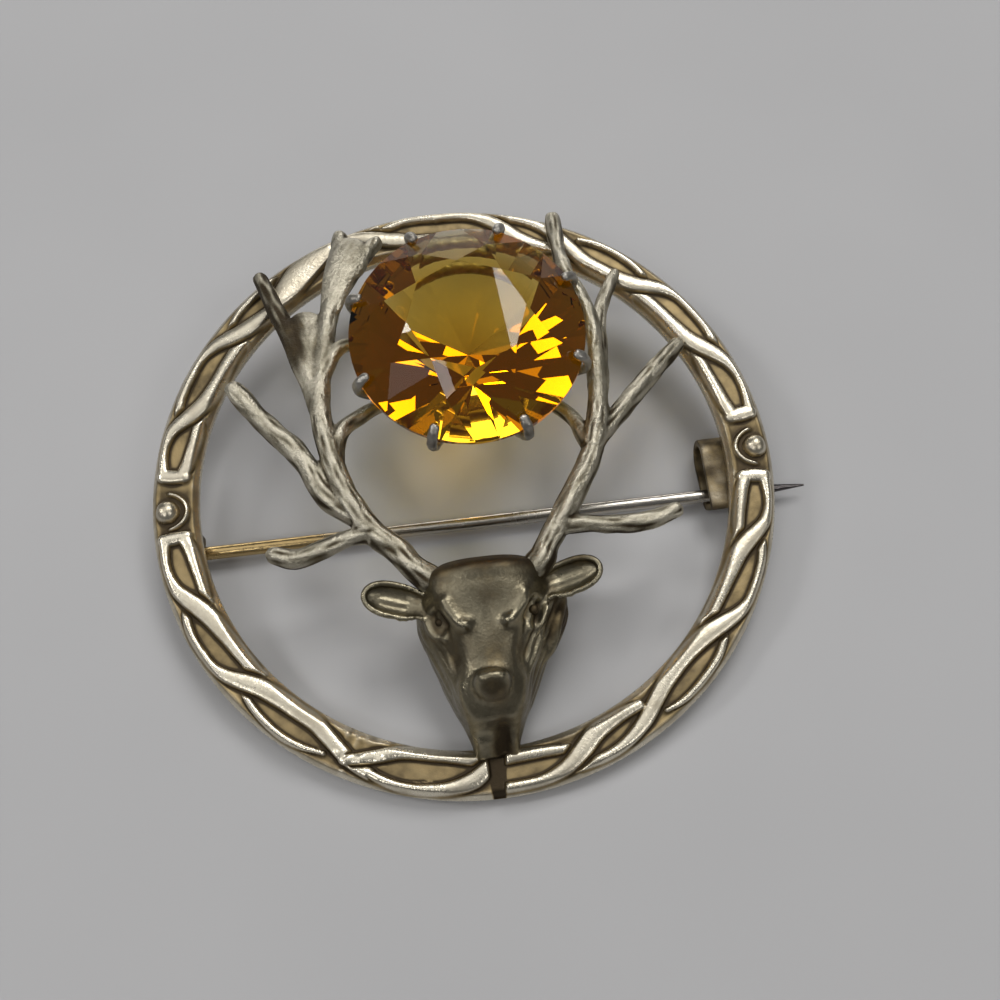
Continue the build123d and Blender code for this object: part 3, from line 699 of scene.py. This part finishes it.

# Head: a net of points on its right half. Each row has a Y, then X and Z from the middle of the
# face past the edge of its front, the eye or the cheek's top, the cheek and the jaw to the back.
HEAD_NET = [
    (-6.60, [(0, 3.6), (1.2, 3.5), (2.2, 3.0), (2.7, 2.3), (3.0, 1.4), (3.2, 0.5), (2.6, -0.2)]),
    (-7.15, [(0, 4.65), (1.4, 4.55), (2.6, 4.05), (3.2, 3.3), (3.6, 2.3), (3.8, 1.0), (3.0, -0.8)]),
    (-8.40, [(0, 4.75), (1.5, 4.70), (2.85, 4.25), (3.5, 3.5), (4.0, 2.4), (4.25, 1.0), (3.2, -1.4)]),
    (-9.60, [(0, 4.52), (1.4, 4.58), (2.55, 4.35), (3.3, 3.5), (4.0, 2.5), (4.35, 1.0), (3.3, -1.6)]),
    (-10.8, [(0, 4.28), (1.1, 4.42), (2.0, 4.25), (2.75, 3.4), (3.65, 2.7), (4.25, 1.2), (3.2, -1.6)]),
    (-12.2, [(0, 4.20), (0.95, 4.15), (1.75, 3.85), (2.25, 3.3), (3.05, 2.5), (3.8, 1.0), (3.0, -1.6)]),
    (-13.5, [(0, 4.05), (0.9, 3.98), (1.70, 3.62), (2.15, 3.1), (2.65, 2.5), (3.25, 0.9), (2.6, -1.6)]),
    (-14.5, [(0, 4.25), (0.9, 4.12), (1.70, 3.70), (2.12, 3.1), (2.45, 2.4), (2.9, 0.8), (2.3, -1.6)]),
    (-15.3, [(0, 4.20), (0.9, 4.05), (1.62, 3.60), (2.02, 2.95), (2.3, 2.2), (2.55, 0.7), (2.1, -1.6)]),
    (-16.0, [(0, 3.85), (0.8, 3.7), (1.42, 3.25), (1.82, 2.7), (2.08, 1.9), (2.25, 0.6), (1.9, -1.6)]),
    (-16.6, [(0, 3.1), (0.7, 3.05), (1.2, 2.85), (1.58, 2.4), (1.8, 1.5), (1.95, 0.4), (1.7, -1.6)]),
    (-17.1, [(0, 1.7), (0.6, 1.8), (1.05, 1.8), (1.4, 1.5), (1.6, 1.0), (1.75, 0.2), (1.5, -1.6)]),
    (-17.8, [(0, 0.9), (0.6, 1.1), (1.0, 1.1), (1.28, 0.8), (1.42, 0.4), (1.5, -0.3), (1.4, -1.5)]),
    (-18.6, [(0, 0.0), (0.5, 0.1), (0.95, 0.1), (1.25, -0.1), (1.4, -0.4), (1.45, -0.8), (1.3, -1.4)]),
]
HEAD_VOXEL = 0.085
# The head hangs a little to the right, and more at its crown than at its chin
HEAD_SHIFT = 0.3
HEAD_LEAN = 0.03
CROWN_Y = -7
# How much fuller the right jowl is than the left one
JOWL_OUT = 0.9
NOSE_AT = (0.05, -14.75, 4.55)
NOSE_WIDE = 1.02
NOSE_LONG = 0.98
# Rounds of smoothing that melt the nose into the muzzle
NOSE_MELT = 130
EYES_AT = [(-2.63, -10.35, 3.0), (3.17, -10.3, 3.3)]
EYE_R = 0.34
EYE_TARNISH = 1.1
LEFT_HAIR = 0.05
RIGHT_HAIR = 0.13


def hump(x, y, at, reach, power=2.0):
    """1 at a place and 0 away from it, falling off over a reach in X and one in Y."""
    far = ((x - at[0]) / reach[0]) ** 2 + ((y - at[1]) / reach[1]) ** 2
    return np.exp(-(far ** (power / 2)))


def line(x, y, points, half_width):
    """1 on a path through places in X and Y, fading to 0 past its half width."""
    near = np.full(x.shape, 9.0)
    for at_x, at_y in flowing(points, 0.12):
        near = np.minimum(near, np.hypot(x - at_x, y - at_y))
    return np.exp(-((near / half_width) ** 2))


def head_shell():
    """Smooth curves through the net's points, first across each row and then from row to row."""
    net = []
    for y, half in HEAD_NET:
        row = np.array([(-x, y, z) for x, z in half[:0:-1]] + [(x, y, z) for x, z in half])
        net.append(curved(np.linspace(0, 1, len(row)), row, np.linspace(0, 1, 180)))
    net = np.stack(net)
    down = -net[:, 0, 1]
    surface = curved(down, net, np.linspace(down[0], down[-1], 190))
    x, y, z = np.moveaxis(surface, -1, 0)
    jowl = eased(x, 1.5, 4.2) * eased(y, -15.5, -9.5) * eased(-z, -3.4, -1.4)
    surface[..., 0] += HEAD_SHIFT + (y - CROWN_Y) * HEAD_LEAN + jowl * JOWL_OUT
    behind = np.linspace(1, 0, 14)[1:-1, None]
    back = surface[:, :1] * behind + surface[:, -1:] * (1 - behind)
    points = np.concatenate([surface, back[:, ::-1]], 1)
    return capped(points[::-1].reshape(-1, 3), len(points), points.shape[1])


def head_features(x, y, z):
    """How far the features stand out of the face, in mm. Both sides are alike but for the hair.

    The hair on the cheeks is random strands, drawn out along a slanting line towards the neck.
    """
    x = x - HEAD_SHIFT - (y - CROWN_Y) * HEAD_LEAN
    side = abs(x)
    front = eased(z, 2.0, 3.2)
    brow = front * 0.22 * line(side, y, [(2.45, -9.4), (2.15, -10.1), (1.7, -10.7), (1.3, -11.0)], 0.36)
    brow_end = front * 0.20 * hump(side, y, (1.4, -10.95), (0.5, 0.35))
    eye_hollow = front * 0.30 * line(side, y, [(3.2, -9.95), (2.95, -10.3), (2.6, -10.8)], 0.28)
    lower_lid = front * 0.16 * line(side, y, [(3.75, -10.1), (3.45, -10.9), (2.6, -11.5)], 0.18)
    cheek_dip = front * 0.16 * hump(side, y, (2.0, -12.9), (0.4, 1.0))
    muzzle = front * 0.07 * line(side, y, [(1.95, -14.4), (1.75, -15.6), (1.1, -16.4), (0, -16.6)], 0.25)
    nose_top = front * 0.24 * line(x, y, [(-0.62, -14.42), (0, -14.38), (0.62, -14.42)], 0.34)
    neck_dip = 0.4 * hump(x, y, (0.45, -18.0), (0.45, 1.1)) * eased(z, -0.5, 0.2)
    height = brow + brow_end - eye_hollow + lower_lid - cheek_dip + muzzle + nose_top - neck_dip
    cheek = eased(side, 2.0, 2.6) * eased(y, -17.0, -15.5) * (1 - eased(y, -10.2, -9.4))
    cheek = cheek * eased(z, -0.6, 0.4)
    run = y * 0.9 - side * 0.55
    across = side + (y + 10) * -0.42
    strand = ripple(np.stack([run * 0.28, across * 2.0, z * 1.6], 1), 1.0, 61, 40)
    return height + cheek * strand * between(LEFT_HAIR, RIGHT_HAIR, eased(x, -1, 1))


# Columns: side, root and tip
EARS = [(-1, (-3.35, -9.3, 3.0), (-7.1, -8.15, 3.6)), (1, (3.85, -8.9, 3.0), (7.6, -8.05, 3.5))]
EAR_WIDTH = 2.0
EAR_WALL = 0.30
EAR_RIM = 0.2
EAR_RIB = 0.14
EAR_BOWL = 0.55
EAR_BACK = 0.75


def ear_shells(side, root, tip):
    """A leaf with a hollow front, a full back and a rib along its middle, and the wire of its rim."""
    root, tip = np.array(root), np.array(tip)
    length = np.linalg.norm(tip - root)
    out = (tip - root) / length
    up = np.cross((0, 0, 1), out) * -side
    up /= np.linalg.norm(up)
    front = np.cross(out, up)
    front *= np.sign(front[2])

    def half_width(along):
        from_widest = np.clip((along - 0.5) / 0.5, -0.7, 1)
        return EAR_WIDTH / 2 * np.clip(1 - abs(from_widest) ** 2.6, 0, 1) ** 0.5

    def placed(along, width, height):
        parts = np.broadcast_arrays(along * length, width, height)
        return root + sum(part[..., None] * axis for part, axis in zip(parts, (out, up, front)))

    along = np.linspace(-0.3, 1, 60)[:, None]
    across = np.linspace(-1, 1, 40)
    bowl = 1 - across**2
    cup = eased(along, -0.1, 0.35) * (1 - 0.5 * eased(along, 0.7, 1))
    rib = EAR_RIB * np.exp(-((across / 0.18) ** 2))
    rib = rib * eased(along, 0.0, 0.3) * (1 - eased(along, 0.6, 0.95))
    upper = rib - EAR_BOWL * bowl * cup
    lower = -EAR_WALL - EAR_BACK * bowl * (1.4 - 0.4 * along)
    width = across * half_width(along)
    loop = np.concatenate([placed(along, width, upper), placed(along, width, lower)[:, ::-1]], 1)
    turned = np.linspace(-0.93, 0.93, 70) * pi
    rim_along = np.where(abs(turned) < pi / 2, 0.5 + 0.5 * np.cos(turned), 0.5 + 0.45 * np.cos(turned))
    rim = placed(rim_along, np.sign(turned) * half_width(rim_along), 0 * turned)
    radius = EAR_RIM * (1 - 0.3 * eased(abs(turned), 1.2, 2.9))
    return [capped(loop.reshape(-1, 3), loop.shape[0], loop.shape[1]), tube(rim, radius, 14, up=front)]


def nose_shell():
    """A ball drawn a little towards a cube: each sine and cosine of its angles to a power of 0.85.

    It is wider and higher at its top, where the nostrils are.
    """
    lean = np.linspace(-pi / 2, pi / 2, 40)[1:-1, None]
    turn_angle = np.linspace(0, 2 * pi, 60, endpoint=False)

    def rounded(value):
        return np.sign(value) * abs(value) ** 0.85

    x = rounded(np.cos(lean)) * rounded(np.cos(turn_angle)) * NOSE_WIDE
    y = rounded(np.cos(lean)) * rounded(np.sin(turn_angle)) * NOSE_LONG
    z = rounded(np.sin(lean)) + 0 * turn_angle
    lobes = 0.10 * np.exp(-(((abs(x) - 0.52) / 0.28) ** 2)) * eased(y, 0, 0.6)
    points = np.stack([x * (1.15 + 0.12 * y), y, z + lobes + 0.25 * y], -1) + NOSE_AT
    return capped(points.reshape(-1, 3), points.shape[0], points.shape[1])


def head_piece():
    """Face, nose and ears skinned as one casting, before the features are raised on it, and the eyes.

    Tarnish lies in hollows, at the neck's seam, on the crown and round the eyes. Painted shade lies under
    the nose, on the right jowl's lower side and on the bridge. The ears are lighter.
    """
    shells = [head_shell(), nose_shell()]
    for ear in EARS:
        shells += ear_shells(*ear)
    skin = fused(shells, HEAD_VOXEL, 3)
    x, y, z = skin.points.T
    nose = hump(x, y, (0.05, -14.6), (1.9, 1.8), 4) * eased(z, 2.6, 3.4)
    skin.points = between(skin.points, skin.spread(skin.points, NOSE_MELT), nose[:, None])
    height = head_features(*skin.points.T)
    skin.points = skin.points + skin.normals() * height[:, None]
    x, y, z = skin.points.T
    neck = hump(x, y, (0.45, -18.1), (0.55, 1.3), 3)
    # Painted shade on the nose's lower face and under it
    shade_under_nose = 0.4 * hump(x, y, (0.1, -15.1), (0.8, 0.7), 3)
    crown = 1.1 * eased(y, -8.1, -7.3)
    # Painted shade on the right jowl's lower side
    jowl = 0.8 * eased(x, 3.2, 4.2) * eased(y, -13, -10.5) * (1 - eased(z, 2.2, 3.0))
    # Painted shade on the nose's bridge
    bridge = 0.45 * hump(x, y, (0.15, -12.6), (1.3, 1.4))
    ears = 0.4 * eased(abs(x - HEAD_SHIFT), 4.2, 4.8) * eased(y, -10.5, -9.5)
    sockets = sum(np.exp(-(((skin.points - eye) ** 2).sum(1) / 0.3)) for eye in EYES_AT) * 0.45
    hollow = skin.hollows(14) * 11 + 0.3 + ripple(skin.points, 2.5, 9) * 0.12
    hollow = hollow + (neck + shade_under_nose) + (crown + jowl) + (bridge - ears) + sockets
    piece("head", skin.points, [skin.faces], head_silver, hollow)
    points, faces = joined([ball(eye, EYE_R) for eye in EYES_AT])
    piece("eyes", points, faces, head_silver, np.full(len(points), EYE_TARNISH))


head_piece()

# Hinge and catch, of sheet silver
SHEET = 0.5


def above_floor(points):
    """The points, of which those under the floor come straight up to it."""
    under = np.minimum(laid(points)[:, 2] / MM, 0)
    return points - under[:, None] * turn[2]


def strip(path, width, thick, middle_x):
    """A bent strip: a rectangle with soft corners, square to a path in Y and Z, as wide as X allows."""
    path = np.array(path)
    tangent = np.gradient(path, axis=0)
    tangent /= np.linalg.norm(tangent, axis=1)[:, None]
    normal = np.stack([-tangent[:, 1], tangent[:, 0]], 1)
    angle = np.linspace(0, 2 * pi, 48, endpoint=False) + pi / 48
    wide = np.sign(np.cos(angle)) * abs(np.cos(angle)) ** 0.25 * width / 2
    high = np.sign(np.sin(angle)) * abs(np.sin(angle)) ** 0.25 * thick / 2
    x = np.tile(middle_x + wide, (len(path), 1))
    yz = path[:, None] + normal[:, None] * high[:, None]
    points = np.concatenate([x[..., None], yz], -1)
    return capped(points.reshape(-1, 3), len(path), len(angle))


def arc(centre, radius, start, end, count=24):
    """Places in Y and Z on a circle, between two angles in degrees."""
    angle = np.radians(np.linspace(start, end, count))
    return np.stack([centre[0] + radius * np.cos(angle), centre[1] + radius * np.sin(angle)], 1)


CATCH_X = 18.15
CATCH_WIDTH = 3.2
CATCH_LIMB = 2.6
CATCH_SLOPE = 8.0
LIP_ANGLE = 58.0
LIP_R = 0.79
CATCH_REACH = 1.4
CATCH_DENTS = 0.012
CATCH_TOP = -RING_THICK + BACK_SEAT - SHEET / 2


def catch_piece():
    """A strip bent to a C under the ring: lip, straight limb, half round bend and upper limb."""
    lip = arc((PIN_Y, PIN_Z), LIP_R, 270 - CATCH_SLOPE - LIP_ANGLE, 270 - CATCH_SLOPE)
    slope = radians(CATCH_SLOPE)
    limb_end = lip[-1] + CATCH_LIMB * np.array([cos(slope), -sin(slope)])
    bend_r = (CATCH_TOP - limb_end[1]) / (1 + cos(slope))
    centre = limb_end + bend_r * np.array([sin(slope), cos(slope)])
    bend = arc(centre, bend_r, 270 - CATCH_SLOPE, 450)
    limbs = between(lip[-1], limb_end, np.linspace(0.1, 0.9, 9)[:, None])
    top_end = np.array([PIN_Y - CATCH_REACH, CATCH_TOP])
    top = between(bend[-1], top_end, np.linspace(0.1, 1, 10)[:, None])
    points, faces = strip(np.vstack([lip, limbs, bend, top]), CATCH_WIDTH, SHEET, CATCH_X)
    points = above_floor(points + (ripple(points, 0.8, 31) * CATCH_DENTS)[:, None] * (0, 0, 1))
    hollow = 0.75 + ripple(points, 1.5, 32) * 0.2
    piece("catch", points, faces, back_silver, hollow)


catch_piece()

CHEEK_R = 1.3
CHEEK_THICK = 0.6
CHEEK_IN = 0.58
# The cheek's four outlines from one side to the other: share of its size, and of its thickness
CHEEK_OUTLINES = [(0.94, -0.5), (1, -0.42), (1, 0.42), (0.94, 0.5)]
PLATE_THICK = 0.4
HINGE_VOXEL = 0.07


def hinge_piece():
    """Two cheeks, each a half round plate, and the plate that carries them, skinned as one."""
    top = -RING_THICK + BACK_SEAT
    shells = []
    corners = [(HINGE_X + CHEEK_R, top), (HINGE_X - CHEEK_R, top)]
    outline = np.vstack([arc((HINGE_X, PIN_Z), CHEEK_R, 180, 360, 30), corners])
    middle = np.array([HINGE_X, (PIN_Z + top) / 2])
    for cheek_y in (PIN_Y - CHEEK_IN - CHEEK_THICK / 2, PIN_Y + CHEEK_IN + CHEEK_THICK / 2):
        rings = [
            np.insert(between(middle, outline, share), 1, cheek_y + place * CHEEK_THICK, axis=1)
            for share, place in CHEEK_OUTLINES
        ]
        shells.append(capped(np.vstack(rings), len(rings), len(outline)))
    plate_z = top - PLATE_THICK / 2
    start = np.array([PIN_Y - CHEEK_IN - CHEEK_THICK, plate_z])
    end = np.array([PIN_Y + CHEEK_IN + CHEEK_THICK, plate_z])
    plate = between(start, end, np.linspace(0, 1, 12)[:, None])
    shells.append(strip(plate, 2 * CHEEK_R, PLATE_THICK, HINGE_X))
    skin = fused(shells, HINGE_VOXEL, 3)
    hollow = skin.hollows(8) * 6 + 0.6 + ripple(skin.points, 1.0, 41) * 0.15
    piece("hinge", above_floor(skin.points), [skin.faces], back_silver, hollow)


hinge_piece()

# Pin, rivet and stone keep the solids' meshes. The pin is brass near its eye, where the plating has gone,
# steel grey along the middle and dark at its point. Places along it are in metres, as its mesh has them.
PLATED_FROM = (-0.012, -0.004)
DARK_FROM = (0.0165, 0.0185)
BRASS = (0.52, 0.38, 0.18)
STEEL_GREY = (0.50, 0.47, 0.42)
DARK_POINT = (0.10, 0.09, 0.09)
PATCHES = 0.010
SCRATCH_SCALE = 9000.0


def pin_finish():
    """Drawn wire: fine scratches along it, and colours that change from the eye to the point."""
    finish = Finish("pin_wire")
    along = finish.node("ShaderNodeSeparateXYZ", inputs={"Vector": finish.place})
    cloud = finish.noise(2.2, 3)
    patch = (cloud - 0.5) * PATCHES
    colour = finish.mix(finish.step(along + patch, *PLATED_FROM), BRASS, STEEL_GREY)
    colour = finish.mix(finish.step(along + patch * 0.4, *DARK_FROM), colour, DARK_POINT)
    stretched = finish.node("ShaderNodeMapping", inputs={"Vector": finish.place, "Scale": (0.15, 1, 1)})
    scratches = {"Vector": stretched, "Scale": SCRATCH_SCALE, "Detail": 2.0}
    lines = finish.node("ShaderNodeTexNoise", inputs=scratches)
    normal = finish.relief(lines, 0.012)
    rough = 0.24 + (cloud - 0.5) * 0.25
    return finish.shaded(Base_Color=colour, Metallic=1.0, Roughness=rough.clamped(), Normal=normal)


RIVET_BRIGHT = (0.42, 0.38, 0.31)
RIVET_DARK = (0.14, 0.11, 0.08)


def rivet_finish():
    """The back's tarnished silver for the rivet, which carries no marks."""
    finish = Finish("rivet_silver")
    cloud = finish.noise(0.8, 4)
    colour = finish.mix(finish.step(cloud, 0.35, 0.65), RIVET_BRIGHT, RIVET_DARK)
    normal = finish.relief(finish.noise(0.2), 0.015)
    return finish.shaded(Base_Color=colour, Metallic=1.0, Roughness=0.25 + cloud * 0.3, Normal=normal)


STONE_IOR = 1.50
AMBER = (0.946, 0.79, 0.03, 1)
AMBER_DENSITY = 380.0
AMBER_SHADOW = (0.36, 0.39, 0.16, 1)


def amber_stone():
    """Amber paste: clear and polished, and coloured by its depth. Lamps shine through it with a tint."""
    finish = Finish("amber_stone")
    glass = {"Base Color": (1, 1, 1, 1), "Roughness": 0.0, "IOR": STONE_IOR, "Transmission Weight": 1.0}
    glass = finish.node("ShaderNodeBsdfPrincipled", inputs=glass)
    clear = finish.node("ShaderNodeBsdfTransparent", inputs={"Color": AMBER_SHADOW})
    in_shadow = finish.node("ShaderNodeLightPath", output="Is Shadow Ray")
    surface = finish.node("ShaderNodeMixShader", inputs={0: in_shadow, 1: glass, 2: clear})
    depth = finish.node("ShaderNodeVolumeAbsorption", inputs={"Color": AMBER, "Density": AMBER_DENSITY})
    finish.node("ShaderNodeOutputMaterial", inputs={"Surface": surface, "Volume": depth})
    return finish.material


node_finishes = {"pin_stem": pin_finish(), "hinge_rivet": rivet_finish(), "stone": amber_stone()}
for node, finish in node_finishes.items():
    frame["nodes"][node].data.materials.clear()
    frame["nodes"][node].data.materials.append(finish)

# Floor, light and camera. Sizes and places are in metres of the frame, and the lamps' power in watts.
FLOOR_SIDE = 0.6
FLOOR_BACK = 0.9
FLOOR_GREY = (0.45, 0.45, 0.46)
FLOOR_PALE = (0.50, 0.50, 0.51)


def floor_piece():
    """A pale sheet that the brooch lies on, which reaches further behind it than in front."""
    finish = Finish("pale_floor")
    shade = finish.noise(30.0, 2)
    colour = finish.mix(shade, FLOOR_GREY, FLOOR_PALE)
    pale = finish.shaded(Base_Color=colour, Roughness=0.85)
    front = [(-FLOOR_SIDE, -FLOOR_SIDE, 0), (FLOOR_SIDE, -FLOOR_SIDE, 0)]
    back = [(FLOOR_SIDE, FLOOR_BACK, 0), (-FLOOR_SIDE, FLOOR_BACK, 0)]
    mesh = mesh_of("floor", front + back, [np.array([[0, 1, 2, 3]])])
    mesh.materials.append(pale)
    floor = bpy.data.objects.new("floor", mesh)
    scene.collection.objects.link(floor)


floor_piece()


def placed_at(at, back, up):
    """The matrix of a camera or lamp at a place, with its back and its top to these directions."""
    right = np.cross(up, back)
    axes = np.stack([right, np.cross(back, right), back], 1)
    place = np.eye(4)
    place[:3, :3] = axes / np.linalg.norm(axes, axis=0)
    place[:3, 3] = at
    return Matrix(place.tolist())


def soft_light(name, at, size, power, colour):
    """A lamp with four sides that faces the brooch."""
    lamp = bpy.data.lights.new(name, "AREA")
    lamp.shape = "RECTANGLE"
    lamp.size, lamp.size_y = size
    lamp.energy = power
    lamp.color = colour
    made = bpy.data.objects.new(name, lamp)
    scene.collection.objects.link(made)
    made.matrix_world = placed_at(at, at, (0, 1, 0))


WINDOW_COLOUR = (1.0, 0.99, 0.97)
SHADE_COLOUR = (0.94, 0.93, 1.0)
# Columns: name, place, size, power, colour
LAMPS = [
    ("high_window", (0.184, 0.328, 0.60), (0.30, 0.334), 2.05, WINDOW_COLOUR),
    ("low_window", (0.0, 0.80, 0.12), (0.52, 0.14), 0.9, WINDOW_COLOUR),
    ("high_left", (-0.45, 0.10, 0.45), (0.12, 0.12), 0.65, WINDOW_COLOUR),
    ("ceiling_left", (-0.22, 0.15, 0.66), (0.34, 0.50), 0.5, WINDOW_COLOUR),
    ("ceiling_front", (0.17, -0.04, 0.66), (0.42, 0.16), 0.19, WINDOW_COLOUR),
    ("behind_left", (-0.22, -0.30, 0.47), (0.17, 0.17), 0.4, WINDOW_COLOUR),
    ("behind_right", (0.31, -0.26, 0.44), (0.15, 0.15), 0.3, WINDOW_COLOUR),
    ("left", (-0.55, -0.20, 0.50), (0.26, 0.26), 0.2, SHADE_COLOUR),
]
for lamp in LAMPS:
    soft_light(*lamp)

ROOM_GREY = (0.11, 0.11, 0.11, 1)
world = bpy.data.worlds.new("room")
scene.world = world
world.use_nodes = True
background = world.node_tree.nodes["Background"].inputs
background["Color"].default_value = ROOM_GREY
background["Strength"].default_value = 1.0
scene.view_settings.view_transform = "Standard"

# The camera's place in mm and its directions, on the level brooch
CAMERA_AT = (-1.47, -25.3, 70.38)
CAMERA_VIEW = (0.0488, 0.3152, -0.9478)
CAMERA_UP = (0.1138, 0.941, 0.3188)
FOCAL_PIXELS = 1113
PICTURE_PIXELS = 1000
SENSOR = 36.0


def camera_piece():
    """A camera at the photograph's place and angle."""
    lens = bpy.data.cameras.new("camera")
    lens.sensor_width = SENSOR
    lens.lens = SENSOR * FOCAL_PIXELS / PICTURE_PIXELS
    lens.clip_start = 0.005
    made = bpy.data.objects.new("camera", lens)
    scene.collection.objects.link(made)
    made.matrix_world = placed_at(laid(CAMERA_AT), -directed(CAMERA_VIEW), directed(CAMERA_UP))
    scene.camera = made


camera_piece()
